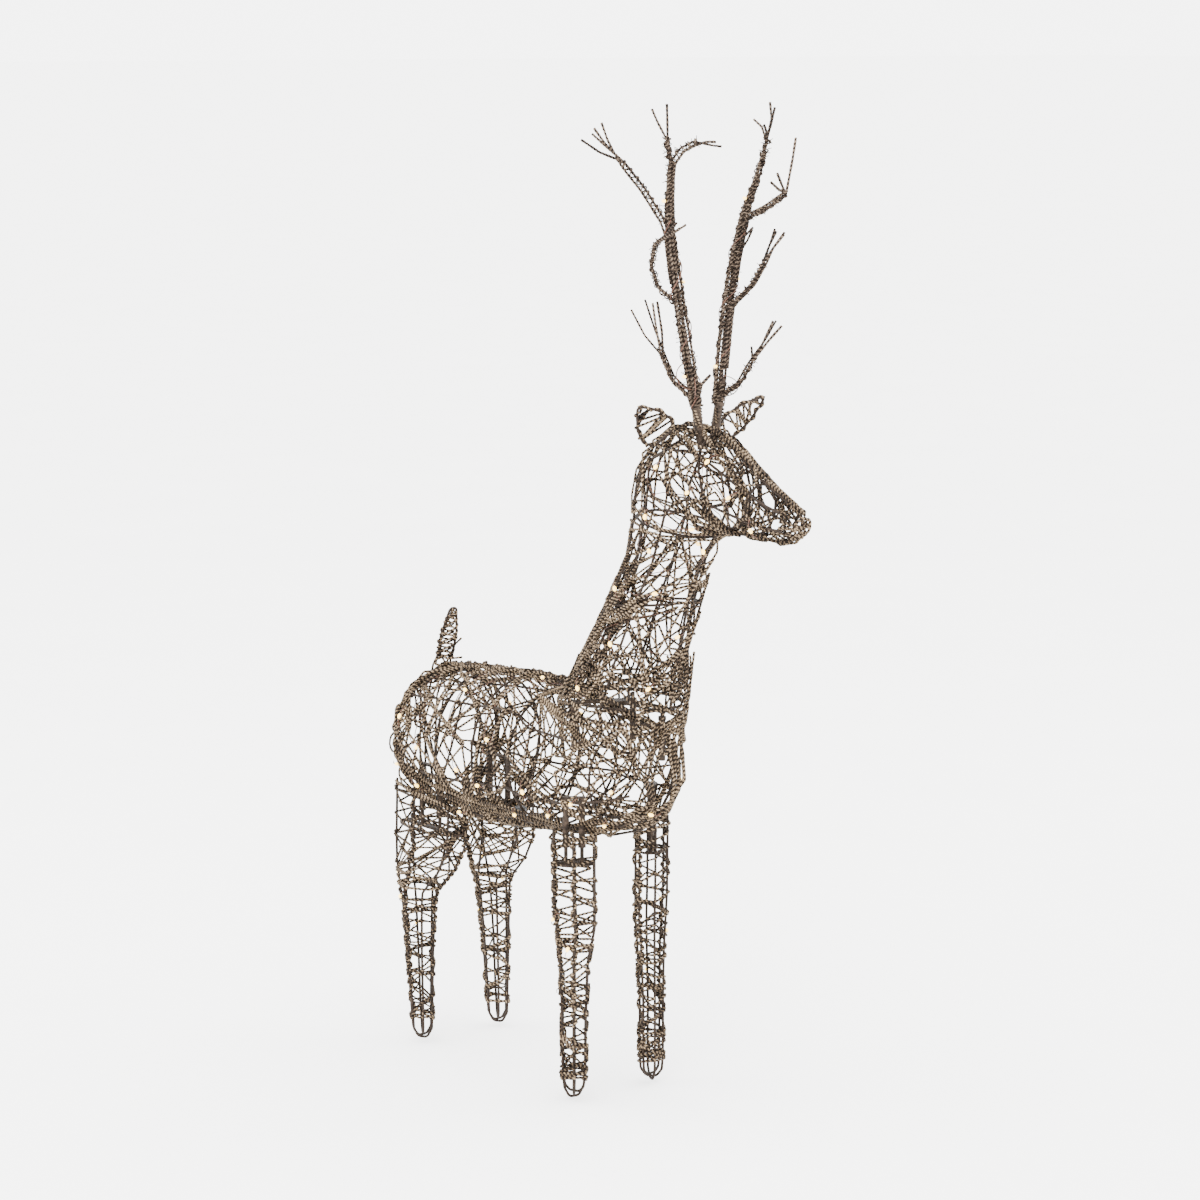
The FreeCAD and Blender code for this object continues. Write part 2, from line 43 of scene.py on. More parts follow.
grain = bpy.data.node_groups.new("fine_grain", "ShaderNodeTree")
for label, default in (("Scale", 400.0), ("Detail", 3.0)):
    grain.interface.new_socket(label, in_out="INPUT", socket_type="NodeSocketFloat"
                               ).default_value = default
for label in ("Fine", "Broad"):
    grain.interface.new_socket(label, in_out="OUTPUT", socket_type="NodeSocketFloat")
n, link = grain.nodes, grain.links
given, out = n.new("NodeGroupInput"), n.new("NodeGroupOutput")
place = n.new("ShaderNodeTexCoord")
fine, broad = n.new("ShaderNodeTexNoise"), n.new("ShaderNodeTexNoise")
broad.inputs["Scale"].default_value = 45.0
for noise in (fine, broad):
    link.new(place.outputs["Object"], noise.inputs["Vector"])
link.new(given.outputs["Scale"], fine.inputs["Scale"])
link.new(given.outputs["Detail"], fine.inputs["Detail"])
link.new(fine.outputs["Fac"], out.inputs["Fine"])
link.new(broad.outputs["Fac"], out.inputs["Broad"])


def finish(name, dark, pale, rough, metal=0.0, scale=400.0, relief=0.0004, shine=0.3):
    """Solid finish: fine grain runs the colour from dark to pale, broad grain moves the
    roughness a little either way, and the fine grain also stands up as relief."""
    made = bpy.data.materials.new(name)
    made.use_nodes = True
    n, link = made.node_tree.nodes, made.node_tree.links
    skin = n["Principled BSDF"]
    grit = n.new("ShaderNodeGroup")
    grit.node_tree = grain
    grit.inputs["Scale"].default_value = scale
    ramp = n.new("ShaderNodeValToRGB")
    start, stop = ramp.color_ramp.elements
    start.position, stop.position = 0.35, 0.7
    start.color, stop.color = (*dark, 1), (*pale, 1)
    link.new(grit.outputs["Fine"], ramp.inputs["Fac"])
    link.new(ramp.outputs["Color"], skin.inputs["Base Color"])
    wear = n.new("ShaderNodeMapRange")
    wear.inputs["To Min"].default_value = rough - 0.12
    wear.inputs["To Max"].default_value = rough + 0.12
    link.new(grit.outputs["Broad"], wear.inputs["Value"])
    link.new(wear.outputs["Result"], skin.inputs["Roughness"])
    skin.inputs["Metallic"].default_value = metal
    skin.inputs["Specular IOR Level"].default_value = shine
    bump = n.new("ShaderNodeBump")
    bump.inputs["Strength"].default_value = 0.35
    bump.inputs["Distance"].default_value = relief
    link.new(grit.outputs["Fine"], bump.inputs["Height"])
    link.new(bump.outputs["Normal"], skin.inputs["Normal"])
    return made


def dress(material, *names):
    """Puts the material on every slot of the named CAD nodes."""
    for name in names:
        for seat in node[name].material_slots:
            seat.material = material


LEGS = ("front_right_leg", "front_left_leg", "hind_right_leg", "hind_left_leg")
wire_coat = finish("frame_wire_coat", (0.006, 0.004, 0.003), (0.030, 0.020, 0.014), 0.60,
                   scale=420.0, shine=0.08)
dress(wire_coat, "barrel_spine_rod", "barrel_keel_rod", "barrel_flank_rods", "barrel_hoops",
      "neck_seat_hoop", "nape_and_crown_rod", "throat_and_jaw_rod", "neck_side_rods",
      "neck_hoops", "head_hoops", "neck_base_hoop", "tail_frame", "right_ear_frame",
      "left_ear_frame", *[leg + "_rods" for leg in LEGS], *[leg + "_hoops" for leg in LEGS])

# ---- Plug-in fittings -------------------------------------------------------------------------
# Steel in the same brown-black coat. Tubes on the cage take the pins of the neck, the legs and
# the antlers. Each pin is welded to a fork, a spider or a stem and stops on its collar.

plug_plate = finish("coated_steel", (0.010, 0.007, 0.005), (0.045, 0.031, 0.022), 0.60,
                    scale=160.0, relief=0.0002, shine=0.08)
dress(plug_plate, "neck_socket_tubes", "leg_socket_brackets", "neck_plug_spider",
      "right_antler_socket", "left_antler_socket", "right_antler_stem", "left_antler_stem",
      *[leg + "_plug_fork" for leg in LEGS])

# ---- Lead inlet -------------------------------------------------------------------------------
# A round socket of black nylon under the belly, held by its ring nut, for the low-voltage lead.

nylon = finish("black_nylon", (0.010, 0.010, 0.011), (0.030, 0.030, 0.032), 0.48, scale=700.0,
               relief=0.0001)
dress(nylon, "lead_inlet_socket", "lead_inlet_ring_nut")

# ---- Barrel winding ---------------------------------------------------------------------------
# Twisted kraft-paper twine, about 3.5 mm through and 4 mm over its ridges, dyed in mixed browns.
# It is pulled straight from rod to rod in every direction and turned once round the wire where it
# changes course. It is never woven.

BARREL = np.array([  # x, top, bottom, half width, mm
    (-461, 524, 436, 44), (-450, 566, 398, 80), (-415, 602, 372, 106), (-330, 613, 362, 111),
    (-240, 618, 365, 114), (-150, 623, 374, 116), (-108, 620, 381, 116), (-84, 599, 384, 116),
    (20, 592, 392, 113), (85, 584, 411, 80), (125, 568, 438, 50), (147, 545, 474, 31)]) / 1000
ROD_DEPTH = 0.0064
ROD = 0.002
TWINE = 0.0020


def barrel_skin(x, turn, lift=0.0):
    """Point of the barrel at x: an upright oval whose half axes are read straight along the table
    and grown by lift; turn 0 is the stag's left, a quarter turn is up."""
    top, low, half = (np.interp(x, BARREL[:, 0], BARREL[:, k]) for k in (1, 2, 3))
    return np.stack(np.broadcast_arrays(
        x, (half + lift) * np.cos(turn),
        (top + low) / 2 + ((top - low) / 2 + lift) * np.sin(turn)), -1)


def unit(v):
    """Each vector divided by its length."""
    return v / np.maximum(np.linalg.norm(v, axis=-1, keepdims=True), 1e-12)


def wander(rng, strands, steps, lines, low, high, slope, stray, back=0.06):
    """Course of each strand: the line number goes on by one at each step, with a rare turn back;
    the place along the cage adds a steady slope and a stray amount, folded at both ends."""
    way = np.where(rng.random((strands, 1)) < 0.5, 1, -1)
    way = way * np.cumprod(np.where(rng.random((strands, steps)) < back, -1, 1), axis=1)
    line = (rng.integers(0, lines, (strands, 1)) + np.cumsum(way, axis=1)) % lines
    drift = slope * np.where(rng.random((strands, 1)) < 0.5, 1, -1)
    along = np.cumsum(drift + rng.normal(0, stray, (strands, steps)), axis=1)
    along = rng.uniform(low, high, (strands, 1)) + along
    span = high - low
    return line, low + span - np.abs((along - low) % (2 * span) - span)


def wind(rng, skin, turns, on_rod, line, place, knots, depth=ROD_DEPTH, over=0.8):
    """Corners of strands laid over a cage. At each step the strand passes over the rod, now and
    then under it; where it is knotted, nine points make a full turn round the rod that moves on
    by one strand."""
    turn = turns[line]
    sink = depth - np.where(on_rod[line], 0, rng.uniform(-0.003, 0.002, line.shape))
    centre = skin(place, turn, -sink)
    out = unit(skin(place, turn, 0.004) - skin(place, turn, 0.0))
    rod_way = unit(skin(place + 0.002, turn, 0.0) - skin(place - 0.002, turn, 0.0))
    across = np.cross(rod_way, out)
    knot = (rng.random(line.shape) < knots) & on_rod[line]
    first = np.where(rng.random(line.shape) < over, 0.0, np.pi)
    spin = np.where(rng.random(line.shape) < 0.5, 1.0, -1.0)
    phase = (np.linspace(0, 2 * np.pi, 9) * knot[..., None])[..., None]
    angle = first[..., None, None] + spin[..., None, None] * phase
    points = (centre[..., None, :] + (ROD + TWINE) * (
        np.cos(angle) * out[..., None, :] + np.sin(angle) * across[..., None, :])
        + phase / (2 * np.pi) * 0.0034 * rod_way[..., None, :])
    return list(points.reshape(line.shape[0], -1, 3))


def lay(rng, skin, places, turn, spread, strands, depth=(0.002, 0.010), stray=0.3):
    """Strands laid lengthwise side by side: straight from one tie to the next, each strand at its
    own share of spread beside turn, moved a little at each tie, at a depth of its own."""
    own = rng.uniform(-1, 1, (strands, 1)) + rng.normal(0, stray, (strands, len(places)))
    at = places + rng.normal(0, 0.004, (strands, len(places)))
    at = np.clip(at, places.min(), places.max())
    sink = rng.uniform(*depth, (strands, 1)) + rng.normal(0, 0.0012, own.shape)
    return list(skin(at, turn + own * spread, -sink))


def band(rng, skin, place, width, strands, laps, ties=12, depth=(0.002, 0.007)):
    """Strands taken round the cage at one place: ties at even turns, each strand at its own share
    of the width, moved a little at each tie."""
    turn = rng.uniform(0, 2 * np.pi, (strands, 1)) + np.linspace(
        0, 2 * np.pi * laps, int(ties * laps) + 1)
    at = place + width * (rng.uniform(-1, 1, (strands, 1)) + rng.normal(0, 0.35, turn.shape))
    return list(skin(at, turn, -rng.uniform(*depth, turn.shape)))


def even(path, step):
    """The path read off at equal steps, with its corners softened by a short moving average."""
    gap = np.linalg.norm(np.diff(path, axis=0), axis=1)
    path = path[np.r_[True, gap > 1e-6]]
    along = np.r_[0, np.cumsum(np.linalg.norm(np.diff(path, axis=0), axis=1))]
    reads = np.linspace(0, along[-1], max(int(along[-1] / step), 4) + 1)
    line = np.stack([np.interp(reads, along, path[:, k]) for k in range(3)], 1)
    for _ in range(2):
        line[1:-1] = 0.25 * line[:-2] + 0.5 * line[1:-1] + 0.25 * line[2:]
    return line


def side_ways(line):
    """Two side directions that do not roll along the line: a guess from the nearest row axis, set
    right by the running sum of the roll between each guess and the one carried over to it."""
    way = unit(np.gradient(line, axis=0))
    guide = np.where(np.abs(way[:, 2:]) < 0.9, (0.0, 0.0, 1.0), (1.0, 0.0, 0.0))
    one = unit(np.cross(guide, way))
    two = np.cross(way, one)
    axis = np.cross(way[:-1], way[1:])
    swing = np.cross(axis, one[:-1])
    near = (1 + np.sum(way[:-1] * way[1:], 1, keepdims=True)).clip(0.05)
    carried = one[:-1] + swing + np.cross(axis, swing) / near
    roll = np.arctan2(np.sum(carried * two[1:], 1), np.sum(carried * one[1:], 1))
    roll = np.r_[0, np.cumsum(roll)][:, None]
    return one * np.cos(roll) + two * np.sin(roll), two * np.cos(roll) - one * np.sin(roll)


def coil(path, pitch, reach, start=0.0):
    """A strand turned round a line: a circle of that reach at each point of the line, its angle
    grown by a full turn for every pitch; pitch and reach may change evenly from end to end."""
    line = even(path, 0.0015)
    share = np.linspace(0, 1, len(line))
    pitch = np.interp(share, np.linspace(0, 1, np.size(pitch)), np.ravel(pitch))
    reach = np.interp(share, np.linspace(0, 1, np.size(reach)), np.ravel(reach))
    angle = (start + 2 * np.pi * np.cumsum(0.0015 / pitch))[:, None]
    one, two = side_ways(line)
    return line + reach[:, None] * (np.cos(angle) * one + np.sin(angle) * two)


def twist_up(name, body, paths, material, radius=TWINE, step=0.002, twist=0.0068, sides=6,
             groove=0.76, seed=1, tones=(0.0, 1.0)):
    """A strand carried along each path: rings of points round the line, closed by a flat face at
    both ends. The crease of the twisted ribbon runs once round per twist: its share is half of one
    plus the cosine of that turn, and the radius falls to the groove share where it is 0. The same
    share is kept on the points and colours the paper as painted shade in the grooves and a
    painted highlight on the ridges."""
    rng = np.random.default_rng(seed)
    verts, quads, ends, ridge_shading, tone = [], [], [], [], []
    count = 0
    k = np.arange(sides)
    for path in paths:
        line = even(np.asarray(path), step)
        m = len(line)
        one, two = side_ways(line)
        run = np.arange(m) * step
        angle = np.broadcast_to(2 * np.pi * k / sides, (m, sides))
        crease = 0.5 + 0.5 * np.cos(2 * np.pi * (run[:, None] / twist + rng.random()) - angle)
        grow = radius * rng.uniform(0.88, 1.12) * (groove + (1 - groove) * crease)
        grow = grow * (1 + 0.07 * np.sin(run[:, None] * 210 + rng.random() * 6))
        ring = (line[:, None] + (grow * np.cos(angle))[..., None] * one[:, None]
                + (grow * np.sin(angle))[..., None] * two[:, None])
        verts.append(ring.reshape(-1, 3))
        a = count + (np.arange(m - 1)[:, None] * sides + k)
        b = count + (np.arange(m - 1)[:, None] * sides + (k + 1) % sides)
        quads.append(np.stack([a, b, b + sides, a + sides], -1).reshape(-1, 4))
        ends.append(np.stack([count + k[::-1], count + (m - 1) * sides + k]))
        ridge_shading.append(crease.ravel())
        own = rng.uniform(*tones)
        tone.append(np.repeat(own + 0.15 * np.sin(run * 23 + own * 40), sides))
        count += m * sides
    verts, quads, ends = np.concatenate(verts), np.concatenate(quads), np.concatenate(ends)
    mesh = bpy.data.meshes.new(name)
    mesh.vertices.add(len(verts))
    mesh.vertices.foreach_set("co", verts.astype(np.float32).ravel())
    corners = np.concatenate([quads.ravel(), ends.ravel()])
    sizes = np.r_[np.full(len(quads), 4), np.full(len(ends), sides)]
    mesh.loops.add(len(corners))
    mesh.loops.foreach_set("vertex_index", corners.astype(np.int32))
    mesh.polygons.add(len(sizes))
    mesh.polygons.foreach_set("loop_start", np.r_[0, np.cumsum(sizes)[:-1]].astype(np.int32))
    mesh.update(calc_edges=True)
    mesh.validate()
    mesh.polygons.foreach_set("use_smooth", np.ones(len(sizes), bool))
    # The crease share is stored for the paper's painted groove shade and highlights on the ridges.
    for label, values in (("ridge_shading", ridge_shading), ("tone", tone)):
        mesh.attributes.new(label, "FLOAT", "POINT").data.foreach_set(
            "value", np.concatenate(values).astype(np.float32))
    piece = bpy.data.objects.new(name, mesh)
    bpy.context.scene.collection.objects.link(piece)
    mesh.materials.append(material)
    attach(piece, body)
    return piece


def paper_finish(name, dark, mid, pale, scale=900.0):
    """Dyed kraft paper: a tone of its own for each strand, broad patches of dye and fine fibres,
    with painted shade in the grooves of the twist and a painted highlight on its ridges."""
    paper = bpy.data.materials.new(name)
    paper.use_nodes = True
    n, link = paper.node_tree.nodes, paper.node_tree.links
    skin = n["Principled BSDF"]
    fibre = n.new("ShaderNodeGroup")
    fibre.node_tree = grain
    fibre.inputs["Scale"].default_value = scale
    fibre.inputs["Detail"].default_value = 4.0
    last = None
    ridge_shading, tone = n.new("ShaderNodeAttribute"), n.new("ShaderNodeAttribute")
    ridge_shading.attribute_name, tone.attribute_name = "ridge_shading", "tone"
    # The crease share of the twist paints shade into the grooves and highlights on the ridges.
    for source, share in ((ridge_shading.outputs["Fac"], 0.70), (tone.outputs["Fac"], 0.28),
                          (fibre.outputs["Fine"], 0.35), (fibre.outputs["Broad"], 0.40)):
        add = n.new("ShaderNodeMath")
        add.operation = "MULTIPLY_ADD"
        add.inputs[1].default_value = share
        link.new(source, add.inputs[0])
        if last is None:
            add.inputs[2].default_value = -0.44
        else:
            link.new(last, add.inputs[2])
        last = add.outputs[0]
    ramp = n.new("ShaderNodeValToRGB")
    ramp.color_ramp.elements[0].position = 0.08
    ramp.color_ramp.elements[0].color = (*dark, 1)
    ramp.color_ramp.elements[1].position = 0.92
    ramp.color_ramp.elements[1].color = (*pale, 1)
    ramp.color_ramp.elements.new(0.5).color = (*mid, 1)
    link.new(last, ramp.inputs["Fac"])
    link.new(ramp.outputs["Color"], skin.inputs["Base Color"])
    skin.inputs["Roughness"].default_value = 0.78
    skin.inputs["Specular IOR Level"].default_value = 0.06
    bump = n.new("ShaderNodeBump")
    bump.inputs["Strength"].default_value = 0.5
    bump.inputs["Distance"].default_value = 0.0005
    link.new(fibre.outputs["Fine"], bump.inputs["Height"])
    link.new(bump.outputs["Normal"], skin.inputs["Normal"])
    return paper


twine_paper = paper_finish("twine_paper", (0.0018, 0.0012, 0.0009), (0.022, 0.0145, 0.0100),
                           (0.26, 0.188, 0.116))
dress(twine_paper, "barrel_wicker_skin", "neck_wicker_skin", "head_wicker_skin",
      "tail_wicker_web", "right_ear_wicker_web", "left_ear_wicker_web",
      *[leg + "_wicker_skin" for leg in LEGS])

degrees = np.array([10, 40, 65, 90, 115, 140, 170, 200, 240, 270, 300, 340])
barrel_lines = np.radians(degrees)
barrel_rods = np.isin(degrees, (40, 90, 140, 200, 240, 270, 300, 340))


def barrel_place(x, turn, lift=0.0):
    """The barrel, with its upper lines stopped short of the open neck seat."""
    return barrel_skin(np.where(np.sin(turn) > 0.75, np.minimum(x, -0.098), x), turn, lift)


rng = np.random.default_rng(11)
for label, strands, slope, stray, knots in (
        ("first", 5, 0.004, 0.022, 0.3), ("second", 5, 0.012, 0.055, 0.25),
        ("third", 5, 0.008, 0.090, 0.25)):
    line, place = wander(rng, strands, 36, 12, -0.454, 0.144, slope, stray)
    piece = twist_up("barrel_twine_" + label + "_winding", "barrel",
                     wind(rng, barrel_place, barrel_lines, barrel_rods, line, place, knots),
                     twine_paper, seed=rng.integers(1000))
    if label == "first":
        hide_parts("barrel_wicker_skin")

# ---- Barrel lays ------------------------------------------------------------------------------
# The same twine laid thickly lengthwise: over the spine, along both lower edges of the belly and
# up the chest, and round the rear hoop, where each lay hides the ties of the winding.

spine = lay(rng, barrel_skin, np.linspace(-0.440, -0.112, 15), np.radians(90), 0.17, 6,
            depth=(-0.001, 0.007), stray=0.5)
spine += [coil(path, 0.03, 0.0045, start) for start, path in enumerate(spine[:3])]
twist_up("spine_twine_lay", "barrel", spine, twine_paper, seed=31)

edge_x = np.array([-0.440, -0.415, -0.370, -0.330, -0.290, -0.240, -0.195, -0.150, -0.105, -0.06,
                   -0.015, 0.020, 0.055, 0.085, 0.110, 0.125, 0.140])
edge_turn = np.radians(np.interp(edge_x, (-0.44, -0.33, -0.15, 0.02, 0.14),
                                 (196, 214, 228, 236, 238)))


def chest_tail(rng, lays, side):
    """Each lay carried on from the front of the belly up the chest to the neck seat."""
    up = np.array([(0.147, 0.030, 0.500), (0.151, 0.021, 0.545), (0.156, 0.012, 0.590)])
    shift = rng.normal(0, 0.010, (len(lays), 1)) * (0, 1, 0)
    return [np.vstack([path, up * (1, side, 1) + move - (0.006, 0, 0)
                       + rng.normal(0, 0.002, (3, 3))]) for path, move in zip(lays, shift)]


for side, word in ((-1, "right"), (1, "left")):
    turn = edge_turn if side < 0 else np.pi - edge_turn
    lays = lay(rng, barrel_skin, edge_x, turn, 0.13, 6, depth=(0.001, 0.008), stray=0.5)
    lays = chest_tail(rng, lays, side)
    lays += lay(rng, barrel_skin, edge_x[:14], turn[:14] + side * 0.25, 0.25, 2,
                depth=(0.002, 0.008))
    twist_up(word + "_belly_twine_lay", "barrel", lays, twine_paper,
             seed=33 + side)

rear = band(rng, barrel_skin, -0.414, 0.008, 3, 1.15, depth=(0.001, 0.010))
rear += band(rng, barrel_skin, -0.438, 0.008, 2, 1.1, depth=(0.001, 0.008))
ends = rng.uniform(0, 2 * np.pi, (12, 2))
ends[:, 1] = ends[:, 0] + np.pi + rng.normal(0, 0.8, 12)
for a, b in ends:
    rear.append(barrel_skin(np.array([-0.405, -0.440, -0.455, -0.455, -0.440, -0.405]),
                            np.array([a, a, a, b, b, b]) + rng.normal(0, 0.06, 6),
                            -rng.uniform(0.002, 0.008)))
for _ in range(9):
    hub = barrel_skin(rng.uniform(-0.43, -0.35), rng.uniform(2.4, 4.0), -0.007)
    ring = np.linspace(0, 2 * np.pi * rng.uniform(0.8, 1.7), 20)[:, None]
    size = rng.uniform(0.010, 0.018)
    rear.append(hub + size * (np.cos(ring) * (0.8, 0.1, 0) + np.sin(ring) * (0, 0.15, 1.0))
                + ring * (0.0006, 0, 0.0012))
twist_up("rump_twine_lay", "barrel", rear, twine_paper, seed=36)

# ---- Shoulder lacing --------------------------------------------------------------------------
# Twine laced to and fro under the seat hoop of the neck, all the way round, and coiled along the
# hoop itself, so the neck seems to grow out of the barrel.


def shoulder_skin(z, turn, lift=0.0):
    """Point of the shoulder collar at height z: a flat oval whose ends are read straight between
    its foot and its rim; turn 0 is the front, a quarter turn is the stag's left."""
    rear, front, half = (np.interp(z, (0.480, 0.560, 0.597), ends) for ends in (
        (-0.070, -0.084, -0.074), (0.130, 0.152, 0.157), (0.084, 0.088, 0.083)))
    return np.stack(np.broadcast_arrays(
        (rear + front) / 2 + ((front - rear) / 2 + lift) * np.cos(turn),
        (half + lift) * np.sin(turn), z), -1)


collar_lines = np.linspace(0, 2 * np.pi, 16, endpoint=False)
line, place = wander(rng, 2, 40, 16, 0.500, 0.594, 0.0, 0.070, back=0.15)
laced = wind(rng, shoulder_skin, collar_lines, np.zeros(16, bool), line, place, 0.0, depth=0.005)
laced += band(rng, shoulder_skin, 0.585, 0.009, 1, 1.1, ties=20, depth=(0.000, 0.008))
hoop = shoulder_skin(0.589, np.linspace(0, 2 * np.pi, 60) + 0.2, -ROD_DEPTH)
laced.append(coil(hoop, 0.017, ROD + TWINE, 0.2))
twist_up("shoulder_twine_lacing", "barrel", laced, twine_paper, seed=41)

# ---- Tail -------------------------------------------------------------------------------------
# A narrow wire loop on the rump, its two sides wrapped with twine and a strand laced between.

tail_base, tail_tip = np.array((-0.418, 0, 0.607)), np.array((-0.392, 0, 0.690))
tail_loop = np.array([(-0.418, -0.013, 0.607), (-0.409, -0.015, 0.637), (-0.400, -0.011, 0.665),
                      (-0.392, 0.0, 0.689), (-0.400, 0.011, 0.665), (-0.409, 0.015, 0.637),
                      (-0.418, 0.013, 0.607)])
tail = [coil(tail_loop, 0.011, 0.0034), coil(tail_loop[:4], 0.020, 0.0036, 2.0)]
rise = np.linspace(0, 0.92, 12)[:, None]
side = (np.where(np.arange(12) % 2, 1, -1) * np.interp(rise[:, 0], (0, 0.4, 1), (13, 15, 4))
        / 1000)[:, None]
for turn_over in (1, -1):
    tail.append(tail_base + rise * (tail_tip - tail_base) + turn_over * side * (0, 1, 0)
                + turn_over * np.array((0.003, 0, 0)))
tail += [tail_base + np.array(ends) for ends in (
    ((0.000, -0.013, 0.004), (0.004, -0.020, -0.008), (0.030, -0.024, -0.006)),
    ((0.000, -0.012, 0.010), (0.008, 0.000, -0.001), (0.034, 0.010, 0.004)),
    ((0.000, 0.013, 0.004), (-0.010, 0.010, -0.012), (-0.022, 0.004, -0.030)),
    ((0.002, -0.013, 0.008), (-0.008, -0.016, -0.010), (-0.020, -0.012, -0.030)),
    ((0.010, 0.004, -0.006), (0.012, 0.010, 0.020), (0.030, 0.012, 0.034)),
    ((0.012, -0.006, -0.006), (0.002, -0.014, 0.012), (0.016, -0.016, 0.030)))]
piece = twist_up("tail_twine_wrap", "barrel", tail, twine_paper, seed=43)
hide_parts("tail_wicker_web")

# ---- Neck and head winding --------------------------------------------------------------------
# One cage bent from the shoulders over the crown to the muzzle, wound with the same twine. Thick
# lays follow the nape, the crown down to the nose, the throat and the jaw.

NECK = np.array([  # back x, back z, front x, front z, half width, mm
    (-77, 602, 161, 602, 85), (-26, 675, 179, 690, 77), (25, 754, 204, 775, 67),
    (71, 827, 230, 836, 61), (90, 901, 261, 874, 67)]) / 1000
HEAD = np.array([
    (90, 901, 261, 874, 67), (97, 960, 272, 878, 69), (122, 1008, 283, 880, 69),
    (183, 1040, 293, 881, 64), (253, 1038, 303, 881, 57), (314, 1006, 318, 880, 48),
    (361, 976, 352, 880, 40), (399, 959, 389, 878, 35), (432, 945, 423, 882, 28),
    (452, 929, 446, 896, 18)]) / 1000


def bent_skin(table):
    """A skin along a bent cage: at each place, the mean length run from back and front edges, an
    oval whose long axis joins the back point to the front point; a quarter turn is the front."""
    back, front, half = table[:, 0:2], table[:, 2:4], table[:, 4]
    run = np.r_[0, np.cumsum((np.linalg.norm(np.diff(back, axis=0), axis=1)
                              + np.linalg.norm(np.diff(front, axis=0), axis=1)) / 2)]

    def skin(place, turn, lift=0.0):
        bx, bz, fx, fz, w = (np.interp(place, run, v) for v in (
            back[:, 0], back[:, 1], front[:, 0], front[:, 1], half))
        reach = np.hypot(fx - bx, fz - bz) / 2
        grown = (reach + lift) / reach * np.sin(turn)
        return np.stack(np.broadcast_arrays(
            (bx + fx) / 2 + (fx - bx) / 2 * grown, (w + lift) * np.cos(turn),
            (bz + fz) / 2 + (fz - bz) / 2 * grown), -1)

    return skin, run


neck_skin, neck_run = bent_skin(NECK)
head_skin, head_run = bent_skin(HEAD)
degrees = np.array([20, 55, 90, 125, 160, 187, 215, 242, 270, 298, 325, 352])
neck_lines = np.radians(degrees)
neck_rods = np.isin(degrees, (20, 90, 160, 215, 270, 325))
NECK_DEPTH = ROD_DEPTH + 0.0012

for label, slope, stray, strands in (("first", 0.004, 0.032, 5), ("second", 0.006, 0.065, 5)):
    line, place = wander(rng, strands, 34, 12, 0.001, neck_run[-1], slope, stray)
    piece = twist_up("neck_twine_" + label + "_winding", "neck_and_head",
                     wind(rng, neck_skin, neck_lines, neck_rods, line, place, 0.25,
                          depth=NECK_DEPTH), twine_paper, seed=rng.integers(1000))
    if label == "first":
        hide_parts("neck_wicker_skin")
for label, slope, stray, strands in (("first", 0.003, 0.025, 4), ("second", 0.004, 0.055, 5)):
    line, place = wander(rng, strands, 34, 12, 0.0, head_run[-1] - 0.003, slope, stray)
    piece = twist_up("head_twine_" + label + "_winding", "neck_and_head",
                     wind(rng, head_skin, neck_lines, neck_rods, line, place, 0.2,
                          depth=NECK_DEPTH), twine_paper, seed=rng.integers(1000))
    if label == "first":
        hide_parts("head_wicker_skin")

rise = np.linspace(0.008, neck_run[-1], 11)
along = np.linspace(0.0, head_run[-1] - 0.003, 13)
lays = lay(rng, neck_skin, rise, np.radians(270), 0.16, 3, depth=(0.000, 0.008), stray=0.5)
lays += lay(rng, neck_skin, rise, np.radians(90), 0.14, 2, depth=(0.001, 0.008), stray=0.5)
for degrees, count in ((215, 1), (325, 1)):
    lays += lay(rng, neck_skin, rise, np.radians(degrees), 0.12, count, depth=(0.001, 0.008))
twist_up("nape_and_throat_twine_lay", "neck_and_head", lays, twine_paper, seed=52)
lays = lay(rng, head_skin, along, np.radians(270), 0.18, 3, depth=(0.000, 0.008), stray=0.5)
lays += lay(rng, head_skin, along, np.radians(90), 0.22, 2, depth=(0.002, 0.008), stray=0.5)
lays += lay(rng, head_skin, along[:9], np.radians(225), 0.4, 1, depth=(0.002, 0.008))
lays += lay(rng, head_skin, along[:9], np.radians(315), 0.4, 1, depth=(0.002, 0.008))
for side in (-1, 1):
    post = np.array([(0.238, side * 0.0162, 1.036), (0.238, side * 0.0207, 1.060)])
    lays.append(coil(post, 0.0046, 0.0082, side))
for place, count in ((0.100, 1), (0.170, 1), (head_run[-1] - 0.006, 2)):
    lays += band(rng, head_skin, place, 0.005, count, 1.1, ties=14)
ends = rng.uniform(0, 2 * np.pi, (6, 2))
ends[:, 1] = ends[:, 0] + np.pi + rng.normal(0, 0.6, 6)
for a, b in ends:
    lays.append(head_skin(head_run[-1] - np.array([0.03, 0.012, 0.0, 0.0, 0.012, 0.03]),
                          np.array([a, a, a, b, b, b]), -0.005))
twist_up("crown_and_jaw_twine_lay", "neck_and_head", lays, twine_paper, seed=53)
base = band(rng, neck_skin, 0.010, 0.008, 1, 1.15, ties=18, depth=(0.000, 0.008))
base += band(rng, neck_skin, 0.165, 0.012, 1, 1.1, ties=14)
base += band(rng, neck_skin, neck_run[-1] - 0.01, 0.014, 1, 1.1, ties=14)
for _ in range(6):
    turn = np.radians(270) + rng.uniform(-0.6, 0.6) + rng.normal(0, 0.06, 5)
    drop = neck_skin(np.array([0.16, 0.11, 0.06, 0.025, 0.008]), turn, -0.002)
    foot = drop[-1] + rng.uniform(0.5, 1.0) * np.array((-0.034, 0, 0.0))
    foot[2] = barrel_skin(foot[0], np.radians(90), 0.004)[2]
    base.append(np.vstack([drop, foot]))
for _ in range(18):
    turn = rng.uniform(-1.2, 4.3) + rng.normal(0, 0.14, 4)
    drop = neck_skin(np.array([0.09, 0.05, 0.018, 0.0]), turn, -0.002)
    foot = (0.042, 0, 0) + (drop[-1] - (0.042, 0, 0)) * (0.95, 0.98, 1)
    base.append(np.vstack([drop, foot - (0, 0, rng.uniform(0.010, 0.024))]))
twist_up("neck_twine_bands", "neck_and_head", base, twine_paper, seed=54)

